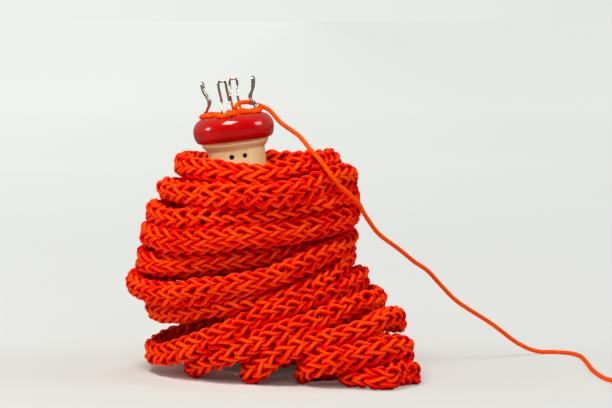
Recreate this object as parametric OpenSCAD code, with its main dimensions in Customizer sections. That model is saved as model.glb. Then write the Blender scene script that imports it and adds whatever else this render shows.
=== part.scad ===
// Knitting nancy: a turned wooden mushroom with four wire hooks, standing in the cord that it knitted

/* [Cap] */
// Width of the red cap
cap_d = 42; // [38:0.5:50]
// Height of the red cap
cap_h = 13; // [12:0.5:18]
// Flat top of the cap as a share of its width
cap_flat_share = 0.667; // [0.65:0.005:0.7]
// Height of the widest line above the underside of the cap
cap_belly_h = 6; // [4:0.5:8]

/* [Body] */
// Height of the wooden body below the cap
body_h = 73; // [66:1:90]
// Width of the shoulder under the cap
shoulder_d = 34.8; // [33:0.2:36]
// Height of the flare between neck and shoulder
flare_h = 5.4; // [3:0.2:7]
// Width of the neck
neck_d = 29.6; // [26:0.2:31]
// Width of the waist
waist_d = 28; // [25:0.2:30]
// Width of the foot
foot_d = 33; // [30:0.5:34]
// Width of the bore through cap and body
bore_d = 14; // [12:0.5:15]
// Width of the spigot that carries the cap
spigot_d = 20; // [18:0.5:21]
// Height of the spigot
spigot_h = 8; // [6:0.5:9]
// Glue gap round the spigot
glue_gap = 0.05; // [0.02:0.01:0.1]
// Lean of the nancy to the left, in degrees
lean = 7.1; // [4:0.1:9]

/* [Hooks] */
// Thickness of the hook wire
wire_d = 1.3; // [1.2:0.05:1.5]
// Circle of the hooks as a share of the cap's width
hook_circle_share = 0.6; // [0.58:0.005:0.61]
// Distance between the two legs of a hook
leg_gap = 4; // [3.8:0.1:4.4]
// Height of a hook above the cap
hook_h = 19; // [16:0.5:22]
// Depth of the leg holes
leg_depth = 8; // [6:0.5:9]
// Room round a leg in its hole
leg_room = 0.02; // [0.01:0.01:0.05]
// Turn of the hooks about the axis, in degrees
hook_turn = -10.5; // [-20:0.5:0]

/* [Yarn] */
// Thickness of the yarn
yarn_d = 2; // [1.8:0.05:2.1]
// Radius at the middle of the turns of the yarn coil
coil_mid_r = 11; // [10.5:0.25:12]
// Turns in each of the two layers of the yarn coil
coil_turns = 4; // [3:1:4]
// Room between neighbouring turns of the yarn coil
coil_room = 0.5; // [0.45:0.05:0.7]
// Thickness of the tie round the yarn coil
tie_t = 0.9; // [0.7:0.1:1]
// Width of the tie round the yarn coil
tie_w = 2; // [1.5:0.1:3]

/* [Knitted cord] */
// Width of the whole winding
winding_w = 150; // [140:1:165]
// Height of the flattened cord as it lies in the winding
cord_high = 10; // [9:0.1:10.5]
// Depth of the socket in which the nancy stands
socket_depth = 43; // [40:1:44]
// Room between the nancy and the cord round it
socket_room = 0.6; // [0.4:0.1:0.8]
// Height at which the foot of the nancy stands
stand_h = 47.7; // [46:0.1:49]
// Room between the knitted tube and the bore
tube_room = 0.6; // [0.4:0.1:1]
// Depth of the top of the knitted tube below the top of the cap
tube_drop = 8; // [7:0.5:10]

/* [Hidden] */

$fn = 64;
wood = [0.90, 0.75, 0.58];
red = [0.68, 0.02, 0.02];
steel = [0.75, 0.75, 0.73];
orange = [0.95, 0.22, 0.03];

nancy_h = body_h + cap_h;
cap_flat_d = cap_d * cap_flat_share;
hook_circle_d = cap_d * hook_circle_share;
stand_x = -3.2;
seat_gap = 0.3;
shoulder_rim = 0.8;
cap_lip = 0.9;
quarter = 90;
arc_steps = 8;
wire_sides = 8;
yarn_sides = 8;
coil_sides = 6;
cord_sides = 6;
rings_per_loop = 24;

// Middle of the cord at the left, front, right and back of each loop, from the table upwards
loops = [
    [[44, -46, 5.2], [60, -64, 5.2], [77, -46, 5.4], [50, -30, 5.2]],
    [[23, -45, 5.2], [50, -62, 16], [76, -42, 17.4], [36, -28, 16.4]],
    [[-3, -41, 5.2], [34, -56, 23.4], [70, -28, 29.4], [16, 38, 15]],
    [[-32, -18, 5.2], [14, -51, 26.8], [62, -12, 40], [0, 39, 26.4]],
    [[-56, 0, 9], [-2, -46, 31.6], [53, -4, 49], [0, 38.5, 37.6]],
    [[-54, 0, 33], [-3, -41.5, 41.6], [48, 0, 59.4], [-8, 38.5, 48.4]],
    [[-66, 0, 45], [-8, -45, 51.2], [47, 0, 70.2], [-8, 38.5, 59.4]],
    [[-60, 0, 59], [-12, -37.4, 62.4], [37, 0, 75.6], [-10, 38.5, 70.2]],
    [[-58, 0, 71], [-6, -44, 74.6], [48.5, 0, 81.2], [-4, 38.5, 81.2]],
    [[-53, 0, 82.6], [-3, -40.5, 84.4], [50, 0, 91.8], [0, 38.5, 92]],
    [[-47, 0, 94.2], [-1, -44.5, 94.6], [46, 0, 102.4], [2, 38.5, 102.8]],
    [[-40, 0, 106.4], [0, -38.5, 105.7], [38, 0, 110], [4, 26.5, 107.5]]
];
// Rise of the cord half way along each quarter of a loop, on top of its even climb
sways = [
    [0, 0, 0, 0], [1.5, 2, 0, 0], [-0.6, 2, 0, 0], [-2.5, 0.5, 0, 0],
    [-5, 0, 0, 0], [-3, 0.5, 0, 0], [-3, 0.5, 0.3, 0], [-2.5, 0, -0.3, 0],
    [-2, 0, 0.4, 0], [-1, 0.3, 0.2, 0], [-0.5, 0.3, 0.2, 0], [0, 0, 0, 0]
];
// Sizes of the winding that the loops above are laid for
laid_w = 150;
laid_high = 10;
laid_thick = 8.4;
spread = winding_w / laid_w;
rise = cord_high / laid_high;
cord_thick = laid_thick * spread;
table_gap = 0.15;
// Inner turns that those loops leave room for
laid_low_r = 24.4;
laid_high_r = 32;
laid_low_at = [5, -2];
core_low_r = laid_low_r * spread;
core_high_r = laid_high_r * spread;
core_low_at = laid_low_at * spread;
core_overlap = 8;
core_low_h = stand_h - core_overlap / 2;

// Free yarn from the rim of the cap over the winding to the table, then towards the coil
free_route = [
    [11.6, 2.4, 129], [16, -4, 126.2], [21.5, -12, 122.5], [26, -20.5, 117.5], [29.5, -26, 114],
    [33.5, -32, 109.5], [37.5, -34, 104], [42, -31.5, 98.5], [47, -27.5, 94], [51.5, -21, 89],
    [54, -15, 84], [58, -9, 77.5], [63, -3, 71], [73.5, 6, 62.5], [81.5, 12, 55.5],
    [89, 16, 50], [97, 21, 41], [106, 26, 32], [124, 36, 19.5], [139, 46, 7.5],
    [150, 52, 2], [160, 54, 1.1], [168, 50, 1.1], [172.5, 40, 1.1], [173.5, 20, 1.1],
    [173.5, -11, 1.1], [176, -35, 1.2], [180.5, -50, 1.8]
];
coil_at = [197, -62] * spread;
// Yarn from the front stitch over the rim: across, back and above the top of the cap
lead_route = [
    [2.6, -8.6, 3.6], [3.6, -6.6, 5.2], [5.4, -3.8, 6], [8.2, 0.5, 5.8], [10.6, 4.3, 5],
    [13, 5.8, 3.8], [15.8, 6, 2.5], [19.4, 5.2, 0.1], [21.6, 4.2, -2.7]
];
// Bends of a hook leg: height as a share of the hook, and lean outwards in wire widths
hook_bends = [[0, 0], [0.17, 0.7], [0.48, -1.3], [0.8, 0.3], [1, 0.75]];

function unit(v) = v / norm(v);
function mix(a, b, t) = a + (b - a) * t;
function last(list) = list[len(list) - 1];

// Direction of travel at each point of a path
function ways(path) = [
    for (i = [0 : len(path) - 1])
        unit(path[min(i + 1, len(path) - 1)] - path[max(i - 1, 0)])
];
function square_to(v, way) = unit(v - (v * way) * way);
// A sideways direction carried along a path without twisting
function carried(path_ways, first) = [
    for (i = 0, side = square_to(first, path_ways[0]);
         i < len(path_ways);
         i = i + 1, side = i < len(path_ways) ? square_to(side, path_ways[i]) : side) side
];
// Smooth curve through route points: each span is a cubic with the slopes of its neighbours
function spline_at(a, b, c, d, t) =
    b + 0.5 * t * (c - a + t * (2 * a - 5 * b + 4 * c - d + t * (3 * (b - c) + d - a)));
function smooth(route, steps) = concat(
    [for (i = [0 : len(route) - 2], j = [0 : steps - 1])
        spline_at(
            route[max(i - 1, 0)], route[i], route[i + 1], route[min(i + 2, len(route) - 1)], j / steps
        )],
    [last(route)]
);

// Closed tube along a path, oval across: wide along the side directions, high square to them
module tube(path, sides_at, wide, high, sides) {
    path_ways = ways(path);
    rings = len(path);
    points = [
        for (i = [0 : rings - 1], j = [0 : sides - 1])
            let (turn = 360 * (j + 0.5) / sides, above = cross(path_ways[i], sides_at[i]))
                path[i] + sides_at[i] * cos(turn) * wide / 2 + above * sin(turn) * high / 2
    ];
    walls = [
        for (i = [0 : rings - 2], j = [0 : sides - 1])
            let (a = i * sides + j, b = i * sides + (j + 1) % sides)
                each [[a, b + sides, b], [a, a + sides, b + sides]]
    ];
    start_cap = [for (j = [1 : sides - 2]) [0, j, j + 1]];
    end_first = (rings - 1) * sides;
    end_cap = [for (j = [1 : sides - 2]) [end_first, end_first + j + 1, end_first + j]];
    polyhedron(points, concat(walls, start_cap, end_cap), convexity = 10);
}
module round_tube(path, thick, sides, first) {
    tube(path, carried(ways(path), first), thick, thick, sides);
}

// Places children in the nancy's own frame, with its foot at zero and its axis upright
module nancy_frame() {
    translate([stand_x, 0, stand_h]) rotate([0, -lean, 0]) children();
}
function nancy_point(p) = [
    stand_x + p[0] * cos(lean) - p[2] * sin(lean), p[1], stand_h + p[0] * sin(lean) + p[2] * cos(lean)
];

// Half profile of a turned piece: smooth swells between [radius, height] stations
function turned(stations, steps) = concat(
    [for (i = [0 : len(stations) - 2], j = [0 : steps - 1])
        let (t = j / steps, ease = (1 - cos(180 * t)) / 2)
            [mix(stations[i][0], stations[i + 1][0], ease), mix(stations[i][1], stations[i + 1][1], t)]],
    [last(stations)]
);

module turned_body() {
    bore_r = bore_d / 2;
    foot_round = 2;
    foot_arc = [
        for (k = [0 : 4])
            [foot_d / 2 - foot_round + foot_round * sin(k * 22.5), foot_round - foot_round * cos(k * 22.5)]
    ];
    swells = turned([
        [foot_d / 2, foot_round + 3], [waist_d / 2, body_h * 0.45], [neck_d / 2, body_h - flare_h],
        [shoulder_d / 2, body_h - shoulder_rim]
    ], arc_steps);
    outline = concat(
        [[bore_r, 0]], foot_arc, swells,
        [[shoulder_d / 2, body_h], [spigot_d / 2, body_h],
         [spigot_d / 2, body_h + spigot_h], [bore_r, body_h + spigot_h]]
    );
    color(wood) nancy_frame() rotate_extrude() polygon(outline);
}

module leg_holes() {
    hole_r = wire_d / 2 + leg_room;
    for (k = [0 : 3], side = [-1, 1])
        rotate([0, 0, quarter * k + hook_turn])
            translate([hook_circle_d / 2, side * leg_gap / 2, nancy_h - leg_depth - leg_room])
                cylinder(r = hole_r, h = leg_depth + 1);
}

module cap() {
    mouth = 1;
    bore_r = bore_d / 2;
    flat_r = cap_flat_d / 2;
    under_r = shoulder_d / 2 + cap_lip;
    swell = cap_d / 2 - under_r;
    top_rise = cap_h - cap_belly_h;
    socket_r = spigot_d / 2 + glue_gap;
    lower = [
        for (k = [0 : arc_steps])
            let (t = quarter * k / arc_steps) [under_r + swell * sin(t), cap_belly_h * (1 - cos(t))]
    ];
    upper = [
        for (k = [1 : arc_steps])
            let (t = quarter * k / arc_steps)
                [flat_r + (cap_d / 2 - flat_r) * cos(t), cap_belly_h + top_rise * sin(t)]
    ];
    bore_mouth = [
        for (k = [0 : 4]) [bore_r + mouth - mouth * sin(k * 22.5), cap_h - mouth + mouth * cos(k * 22.5)]
    ];
    socket_top = spigot_h + glue_gap;
    outline = concat(
        [[socket_r, 0]], lower, upper, bore_mouth, [[bore_r, socket_top], [socket_r, socket_top]]
    );
    color(red) nancy_frame() difference() {
        translate([0, 0, body_h]) rotate_extrude() polygon(outline);
        leg_holes();
    }
}

// Wire hook: a leg up through its bends, a flat top with round corners and the same leg down again
module hook(turn) {
    corner_r = wire_d;
    leg_top = hook_h - wire_d / 2 - corner_r;
    bends = smooth([for (b = hook_bends) [b[1] * wire_d, 0, b[0] * leg_top]], 3);
    up_leg = [for (p = bends) p + [hook_circle_d / 2, -leg_gap / 2, nancy_h]];
    foot = [hook_circle_d / 2, -leg_gap / 2, nancy_h - leg_depth];
    corner = [
        for (k = [1 : 4])
            let (t = quarter * k / 4)
                last(up_leg) + [0, corner_r * (1 - cos(t)), corner_r * sin(t)]
    ];
    half = concat([foot], up_leg, corner);
    down_leg = [for (i = [len(half) - 1 : -1 : 0]) [half[i][0], -half[i][1], half[i][2]]];
    color(steel) nancy_frame() rotate([0, 0, turn + hook_turn])
        round_tube(concat(half, down_leg), wire_d, wire_sides, [1, 0, 0]);
}
module hook_right() hook(0);
module hook_back() hook(quarter);
module hook_left() hook(2 * quarter);
module hook_front() hook(3 * quarter);

// Live stitch: yarn up out of the bore, out round both legs of a hook and back into the bore
module stitch(turn) {
    leg_r = bore_d / 2 - 1.8;
    leg_side = 2.5;
    lie = yarn_d / 2 + 0.1;
    flank = leg_gap / 2 + wire_d / 2 + seat_gap + yarn_d / 2;
    out_r = hook_circle_d / 2 + hook_bends[1][1] * wire_d + wire_d / 2 + seat_gap + yarn_d / 2;
    half = [
        [leg_r, leg_side, seat_gap - tube_drop], [leg_r, leg_side, -3], [leg_r, leg_side, -1],
        [leg_r + 1.1, leg_side + 0.5, lie], [leg_r + 3.6, flank - 0.2, lie + 0.1],
        [out_r - 3.2, flank + 0.1, lie], [out_r - 0.9, flank - 0.6, lie], [out_r + 0.1, leg_side - 0.9, lie]
    ];
    other = [for (i = [len(half) - 1 : -1 : 0]) [half[i][0], -half[i][1], half[i][2]]];
    route = [for (p = concat(half, other)) p + [0, 0, nancy_h]];
    color(orange) nancy_frame() rotate([0, 0, turn + hook_turn])
        round_tube(smooth(route, 2), yarn_d, yarn_sides, [0, 1, 0]);
}
module stitch_right() stitch(0);
module stitch_back() stitch(quarter);
module stitch_left() stitch(2 * quarter);
module stitch_front() stitch(3 * quarter);

module knitted_tube() {
    color(orange) nancy_frame()
        translate([0, 0, -seat_gap])
            cylinder(r = bore_d / 2 - tube_room, h = nancy_h - tube_drop + seat_gap);
}

// Inner turns of the cord: a lower drum on the table and an upper drum in line with the nancy
module inner_winding() {
    color(orange) difference() {
        union() {
            translate(core_low_at) cylinder(r = core_low_r, h = core_low_h);
            nancy_frame() translate([0, 0, -core_overlap])
                cylinder(r = core_high_r, h = core_overlap + socket_depth);
        }
        nancy_frame() translate([0, 0, -seat_gap])
            cylinder(r = foot_d / 2 + socket_room, h = socket_depth + 1);
    }
}

// Loops laid for one cord are spread and raised in step with the cord's own size
function laid(p) = [p[0] * spread, p[1] * spread, p[2] * rise];
stations = [for (l = loops) each [for (p = l) laid(p)]];
station_sways = [for (l = sways) each l * rise];
// Height between two stations: a smooth climb and its sway, never in the table
function climb(i, t) = max(
    cord_high / 2 + table_gap,
    station_sways[i] * pow(sin(2 * quarter * t), 2) + spline_at(
        stations[max(i - 1, 0)][2], stations[i][2], stations[i + 1][2],
        stations[min(i + 2, len(stations) - 1)][2], t
    )
);
// Quarter of a loop between two stations: an ellipse seen from above
function loop_point(i, t) =
    let (a = stations[i], b = stations[i + 1], c = cos(quarter * t), s = sin(quarter * t))
        i % 2 == 0
            ? [mix(b[0], a[0], c), mix(a[1], b[1], s), climb(i, t)]
            : [mix(a[0], b[0], s), mix(b[1], a[1], c), climb(i, t)];
quarter_rings = rings_per_loop / 4;
loop_path = [
    for (i = [0 : len(stations) - 2], j = [0 : quarter_rings - 1]) loop_point(i, j / quarter_rings)
];
// Upper end of the cord: a quarter bend and a straight end square to the top of the inner turns
end_gap = 0.1;
tail_r = (core_high_r + foot_d / 2 + socket_room) / 2;
tail_foot = nancy_point([0, tail_r, socket_depth + end_gap]);
tail_top = nancy_point([0, tail_r, socket_depth + end_gap + cord_high]);
bend_from = last(stations);
bend_path = [
    for (j = [0 : quarter_rings])
        let (t = quarter * j / quarter_rings)
            [mix(bend_from[0], tail_top[0], sin(t)), mix(bend_from[1], tail_top[1], j / quarter_rings),
             mix(tail_top[2], bend_from[2], cos(t))]
];
cord_path = concat(loop_path, bend_path, [tail_foot]);
// The flat side of the cord faces outwards on the loops and turns over with the bend
cord_above = concat(
    [for (p = loop_path) [0, 0, 1]],
    [for (j = [0 : quarter_rings]) let (t = quarter * j / quarter_rings) [-sin(t), 0, cos(t)]],
    [[-1, 0, 0]]
);
cord_ways = ways(cord_path);
cord_sides_at = [for (i = [0 : len(cord_path) - 1]) unit(cross(cord_ways[i], cord_above[i]))];

module knitted_winding() {
    color(orange) tube(cord_path, cord_sides_at, cord_thick, cord_high, cord_sides);
}

// Room between two rings of an oval tube, from the distance of their middles
function ring_room(a, b, wide, high) =
    let (d = b - a, far = norm(d), flat = norm([d[0], d[1]]) / far, steep = abs(d[2]) / far)
        far - norm([wide * flat, high * steep]);
function least_room(path, wide, high, apart) = min([
    for (i = [0 : len(path) - 1 - apart], j = [i + apart : len(path) - 1])
        ring_room(path[i], path[j], wide, high)
]);

module yarn_lead() {
    route = [for (p = lead_route) p + [0, 0, nancy_h]];
    color(orange) nancy_frame() round_tube(smooth(route, 2), yarn_d, yarn_sides, [0, 0, 1]);
}

// Coil of put-away yarn: in along the lower layer, up in half a turn, and out along the upper layer
coil_pitch = yarn_d + coil_room;
coil_low = tie_t + 0.2 + yarn_d / 2;
coil_out_r = coil_mid_r + coil_pitch * coil_turns / 2;
function coil_r(turn) = coil_out_r - coil_pitch * min(turn, 2 * coil_turns + 0.5 - turn);
function coil_z(turn) =
    coil_low + coil_pitch * min(max((turn - coil_turns) / 0.5, 0), 1);
coil_rings = rings_per_loop * (2 * coil_turns + 0.5);
coil_loops = [
    for (k = [0 : coil_rings])
        let (turn = k / rings_per_loop, r = coil_r(turn))
            [coil_at[0] - r * cos(360 * turn), coil_at[1] - r * sin(360 * turn), coil_z(turn)]
];
coil_start = coil_loops[0] + [0, yarn_d, 0];
coil_end = last(coil_loops) + unit(last(coil_loops) - coil_loops[len(coil_loops) - 2]) * yarn_d;
coil_path = concat([coil_start], coil_loops, [coil_end]);

module yarn_coil() {
    color(orange) round_tube(coil_path, yarn_d, coil_sides, [0, 0, 1]);
}

module working_yarn() {
    lead_end = nancy_point(last(lead_route) + [0, 0, nancy_h]);
    free = [for (p = free_route) let (q = laid(p)) [q[0], q[1], max(q[2], yarn_d / 2 + table_gap)]];
    first = lead_end + unit(free[0] - lead_end) * seat_gap;
    final = coil_start + [0, seat_gap, 0];
    route = concat([first], free, [final]);
    color(orange) round_tube(smooth(route, 2), yarn_d, yarn_sides, [0, 0, 1]);
}

// Tie: a flat band round the bundle of turns, on the far side of the coil from its ends
module coil_tie() {
    room = 0.2;
    inner_r = coil_r(coil_turns - 0.25) - coil_pitch * 0.5 - yarn_d / 2 - room;
    outer_r = coil_out_r + yarn_d / 2 + room;
    low = coil_low - yarn_d / 2 - room;
    high = coil_low + coil_pitch + yarn_d / 2 + room;
    color(orange) translate([coil_at[0], coil_at[1], 0]) rotate([0, 0, -quarter])
        translate([0, tie_w / 2, 0]) rotate([quarter, 0, 0]) linear_extrude(tie_w) difference() {
            translate([inner_r - tie_t, low - tie_t])
                square([outer_r - inner_r + 2 * tie_t, high - low + 2 * tie_t]);
            translate([inner_r, low]) square([outer_r - inner_r, high - low]);
        }
}

echo(cord_least_gap = least_room(cord_path, cord_thick, cord_high, 10));
echo(coil_least_gap = least_room(coil_path, yarn_d, yarn_d, 10));

turned_body();
cap();
hook_front();
hook_back();
hook_left();
hook_right();
stitch_front();
stitch_back();
stitch_left();
stitch_right();
knitted_tube();
inner_winding();
knitted_winding();
yarn_lead();
working_yarn();
yarn_coil();
coil_tie();
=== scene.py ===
"""Knitting nancy standing in the winding of the cord that it knitted. Lengths here are in millimetres."""
import math

import bpy
import numpy as np
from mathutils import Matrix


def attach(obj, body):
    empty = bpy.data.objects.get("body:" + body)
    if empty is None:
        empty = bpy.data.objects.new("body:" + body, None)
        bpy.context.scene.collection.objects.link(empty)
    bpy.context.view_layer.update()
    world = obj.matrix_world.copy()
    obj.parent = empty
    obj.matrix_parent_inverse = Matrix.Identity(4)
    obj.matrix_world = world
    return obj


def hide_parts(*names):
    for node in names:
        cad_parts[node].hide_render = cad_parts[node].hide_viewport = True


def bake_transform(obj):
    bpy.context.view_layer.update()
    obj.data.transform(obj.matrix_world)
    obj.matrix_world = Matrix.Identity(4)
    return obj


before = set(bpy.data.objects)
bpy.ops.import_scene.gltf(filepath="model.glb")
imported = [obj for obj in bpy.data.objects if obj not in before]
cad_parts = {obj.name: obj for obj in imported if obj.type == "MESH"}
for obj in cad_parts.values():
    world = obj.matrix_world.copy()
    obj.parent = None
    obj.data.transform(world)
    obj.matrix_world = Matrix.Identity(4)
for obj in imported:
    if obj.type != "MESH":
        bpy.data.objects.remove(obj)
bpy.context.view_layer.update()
MM = 0.001
TAU = 2 * math.pi

# Sizes shared with the CAD solids
LEAN = math.radians(7.1)
STAND = np.array([-3.2, 0.0, 47.7])
BODY_H, CAP_H = 73.0, 13.0
NANCY_H = BODY_H + CAP_H
CAP_R, CAP_FLAT_R, CAP_BELLY_H, CAP_LIP = 21.0, 14.007, 6.0, 0.9
SHOULDER_R, NECK_R, WAIST_R, FOOT_R, BORE_R = 17.4, 14.8, 14.0, 16.5, 7.0
FLARE_H, SHOULDER_RIM, FOOT_ROUND = 5.4, 0.8, 2.0
SPIGOT_R, SPIGOT_H, GLUE_GAP = 10.0, 8.0, 0.05
WIRE_D, HOOK_R, LEG_GAP, HOOK_H, LEG_DEPTH = 1.3, 12.6, 4.0, 19.0, 8.0
HOOK_TURN = math.radians(-10.5)
HOOK_BENDS = np.array([[0, 0], [0.17, 0.7], [0.48, -1.3], [0.8, 0.3], [1, 0.75]])
YARN_D, CORD_HIGH = 2.0, 10.0
CORE_LOW_R, CORE_HIGH_R, SOCKET_DEPTH, SOCKET_ROOM = 24.4, 32.0, 43.0, 0.6
CORE_LOW_AT = (5.0, -2.0)
TUBE_DROP, SEAT_GAP, TABLE_GAP, END_GAP = 8.0, 0.3, 0.15, 0.1
COIL_AT, COIL_MID_R, COIL_TURNS, COIL_ROOM, TIE_T, TIE_W = (197.0, -62.0), 11.0, 4, 0.5, 0.9, 2.0

# Loose yarn is fluffy, so it is drawn a little thicker than in CAD. Its plies go once round it in 7 mm
FLUFFY_R = 1.12
PLIES, PLY_TURN, PLY_DEPTH = 4, 7.0, 0.07
# Yarn that lies on the table is flattened at this height
FLAT_AT = 0.02
SIDEWAYS, BACKWARDS, UPWARDS = np.eye(3)

# Middle of the cord at the left, front, right and back of each loop, from the table upwards
LOOPS = np.array([
    [[44, -46, 5.2], [60, -64, 5.2], [77, -46, 5.4], [50, -30, 5.2]],
    [[23, -45, 5.2], [50, -62, 16], [76, -42, 17.4], [36, -28, 16.4]],
    [[-3, -41, 5.2], [34, -56, 23.4], [70, -28, 29.4], [16, 38, 15]],
    [[-32, -18, 5.2], [14, -51, 26.8], [62, -12, 40], [0, 39, 26.4]],
    [[-56, 0, 9], [-2, -46, 31.6], [53, -4, 49], [0, 38.5, 37.6]],
    [[-54, 0, 33], [-3, -41.5, 41.6], [48, 0, 59.4], [-8, 38.5, 48.4]],
    [[-66, 0, 45], [-8, -45, 51.2], [47, 0, 70.2], [-8, 38.5, 59.4]],
    [[-60, 0, 59], [-12, -37.4, 62.4], [37, 0, 75.6], [-10, 38.5, 70.2]],
    [[-58, 0, 71], [-6, -44, 74.6], [48.5, 0, 81.2], [-4, 38.5, 81.2]],
    [[-53, 0, 82.6], [-3, -40.5, 84.4], [50, 0, 91.8], [0, 38.5, 92]],
    [[-47, 0, 94.2], [-1, -44.5, 94.6], [46, 0, 102.4], [2, 38.5, 102.8]],
    [[-40, 0, 106.4], [0, -38.5, 105.7], [38, 0, 110], [4, 26.5, 107.5]],
], float)
# Rise of the cord half way along each quarter of a loop, on top of its even climb
SWAYS = np.array([
    [0, 0, 0, 0], [1.5, 2, 0, 0], [-0.6, 2, 0, 0], [-2.5, 0.5, 0, 0],
    [-5, 0, 0, 0], [-3, 0.5, 0, 0], [-3, 0.5, 0.3, 0], [-2.5, 0, -0.3, 0],
    [-2, 0, 0.4, 0], [-1, 0.3, 0.2, 0], [-0.5, 0.3, 0.2, 0], [0, 0, 0, 0],
])

# Free yarn from the rim of the cap over the winding to the table, then towards the coil
FREE_ROUTE = np.array([
    [11.6, 2.4, 129], [16, -4, 126.2], [21.5, -12, 122.5], [26, -20.5, 117.5], [29.5, -26, 114],
    [33.5, -32, 109.5], [37.5, -34, 104], [42, -31.5, 98.5], [47, -27.5, 94], [51.5, -21, 89],
    [54, -15, 84], [58, -9, 77.5], [63, -3, 71], [73.5, 6, 62.5], [81.5, 12, 55.5],
    [89, 16, 50], [97, 21, 41], [106, 26, 32], [124, 36, 19.5], [139, 46, 7.5],
    [150, 52, 2], [160, 54, 1.1], [168, 50, 1.1], [172.5, 40, 1.1], [173.5, 20, 1.1],
    [173.5, -11, 1.1], [176, -35, 1.2], [180.5, -50, 1.8],
])
# Yarn from the front stitch over the rim: across, back and above the top of the cap
LEAD_ROUTE = np.array([
    [2.6, -8.6, 3.6], [3.6, -6.6, 5.2], [5.4, -3.8, 6], [8.2, 0.5, 5.8], [10.6, 4.3, 5],
    [13, 5.8, 3.8], [15.8, 6, 2.5], [19.4, 5.2, 0.1], [21.6, 4.2, -2.7],
])


def unit(v):
    """Vectors of length one in the same directions."""
    return v / np.linalg.norm(v, axis=-1, keepdims=True)


def mix(a, b, t):
    """From a to b as t goes from 0 to 1."""
    return a + (b - a) * t


def run_of(path):
    """Length of the path up to each of its points."""
    return np.concatenate([[0.0], np.cumsum(np.linalg.norm(np.diff(path, axis=0), axis=1))])


def span(a, b, c, d, t):
    """Cubic from b to c whose end slopes are half the chords a-c and b-d."""
    return b + 0.5 * t * (c - a + t * (2 * a - 5 * b + 4 * c - d + t * (3 * (b - c) + d - a)))


def smooth(route, steps):
    """Curve through the route's points: one cubic span between neighbours, cut into steps."""
    p = np.asarray(route, float)
    q = np.vstack([p[:1], p, p[-1:]])[:, None, :]
    t = (np.arange(steps) / steps)[None, :, None]
    return np.vstack([span(q[:-3], q[1:-2], q[2:-1], q[3:], t).reshape(-1, p.shape[1]), p[-1:]])


def rows_at(places, run, rows):
    """Rows of three numbers that are given at run, read off at other places between them."""
    return np.stack([np.interp(places, run, rows[:, k]) for k in range(3)], axis=1)


def even(path, step):
    """The same curve with its points a fixed step of its own length apart."""
    run = run_of(path)
    return rows_at(np.linspace(0, run[-1], max(2, int(round(run[-1] / step)) + 1)), run, path)


def stood(points):
    """From the nancy's own upright frame, foot at zero, to where it leans in the winding."""
    c, s = math.cos(LEAN), math.sin(LEAN)
    x, y, z = np.moveaxis(np.asarray(points, float), -1, 0)
    return np.stack([x * c - z * s, y, x * s + z * c], axis=-1) + STAND


def turned_round(points, turn):
    """The points turned about the upright axis."""
    c, s = math.cos(turn), math.sin(turn)
    x, y, z = np.moveaxis(np.asarray(points, float), -1, 0)
    return np.stack([x * c - y * s, x * s + y * c, z], axis=-1)


def new_piece(name, points, faces, material, uv=None):
    """Mesh object from points in millimetres and arrays of faces, each with one number of corners."""
    arrays = [np.asarray(f) for f in faces]
    corners = np.concatenate([f.ravel() for f in arrays]).astype(np.int32)
    totals = np.concatenate([np.full(len(f), f.shape[1]) for f in arrays]).astype(np.int32)
    mesh = bpy.data.meshes.new(name)
    mesh.vertices.add(len(points))
    mesh.vertices.foreach_set("co", (np.asarray(points) * MM).astype(np.float32).ravel())
    mesh.loops.add(len(corners))
    mesh.loops.foreach_set("vertex_index", corners)
    mesh.polygons.add(len(totals))
    mesh.polygons.foreach_set("loop_start", (np.cumsum(totals) - totals).astype(np.int32))
    mesh.polygons.foreach_set("use_smooth", np.ones(len(totals), bool))
    mesh.update(calc_edges=True)
    if uv is not None:
        layer = mesh.uv_layers.new(name="UVMap")
        layer.data.foreach_set("uv", np.asarray(uv, np.float32).ravel())
    mesh.materials.append(material)
    obj = bpy.data.objects.new(name, mesh)
    bpy.context.scene.collection.objects.link(obj)
    return obj


def tube_piece(name, path, ref, radius, sides, material, ply_depth=0.0, broad=1.0):
    """Tube along a path: at each point a ring square to the way, begun at the part of ref that is square to
    the way, and broad times as wide in that direction. Flat ends, and flattened where it lies on the table.
    Plies make the radius swell and shrink by the share ply_depth, as the sine of four times the angle plus
    the twist so far. UV: u once round, v the length so far in metres."""
    way = unit(np.gradient(path, axis=0))
    side = unit(ref - (ref * way).sum(axis=1, keepdims=True) * way)
    above = np.cross(way, side)
    n, run = len(path), run_of(path)
    turn = (np.arange(sides) * TAU / sides)[None, :, None]
    twist = TAU * run[:, None, None] / PLY_TURN
    swell = 1 + ply_depth * np.sin(PLIES * (turn + twist))
    r = np.broadcast_to(np.asarray(radius, float), n)[:, None, None] * swell
    ring = broad * np.cos(turn) * side[:, None, :] + np.sin(turn) * above[:, None, :]
    points = path[:, None, :] + r * ring
    points[..., 2] = np.maximum(points[..., 2], FLAT_AT)
    i, j = np.meshgrid(np.arange(n - 1), np.arange(sides), indexing="ij")
    k = (j + 1) % sides
    quads = np.stack([i * sides + j, i * sides + k, (i + 1) * sides + k, (i + 1) * sides + j], axis=-1)
    ends = np.stack([np.arange(sides)[::-1], (n - 1) * sides + np.arange(sides)])
    u, next_u, v = j / sides, (j + 1) / sides, run * MM
    corners = (u, v[i]), (next_u, v[i]), (next_u, v[i + 1]), (u, v[i + 1])
    quad_uv = np.stack([np.stack(corner, axis=-1) for corner in corners], axis=2)
    round_u = np.arange(sides) / sides
    both_ends = (round_u[::-1], v[0]), (round_u, v[-1])
    end_uv = np.stack([np.stack([end_u, np.full(sides, end_v)], axis=-1) for end_u, end_v in both_ends])
    uv = np.concatenate([quad_uv.reshape(-1, 2), end_uv.reshape(-1, 2)])
    return new_piece(name, points.reshape(-1, 3), [quads.reshape(-1, 4), ends], material, uv)


# Materials


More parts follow.
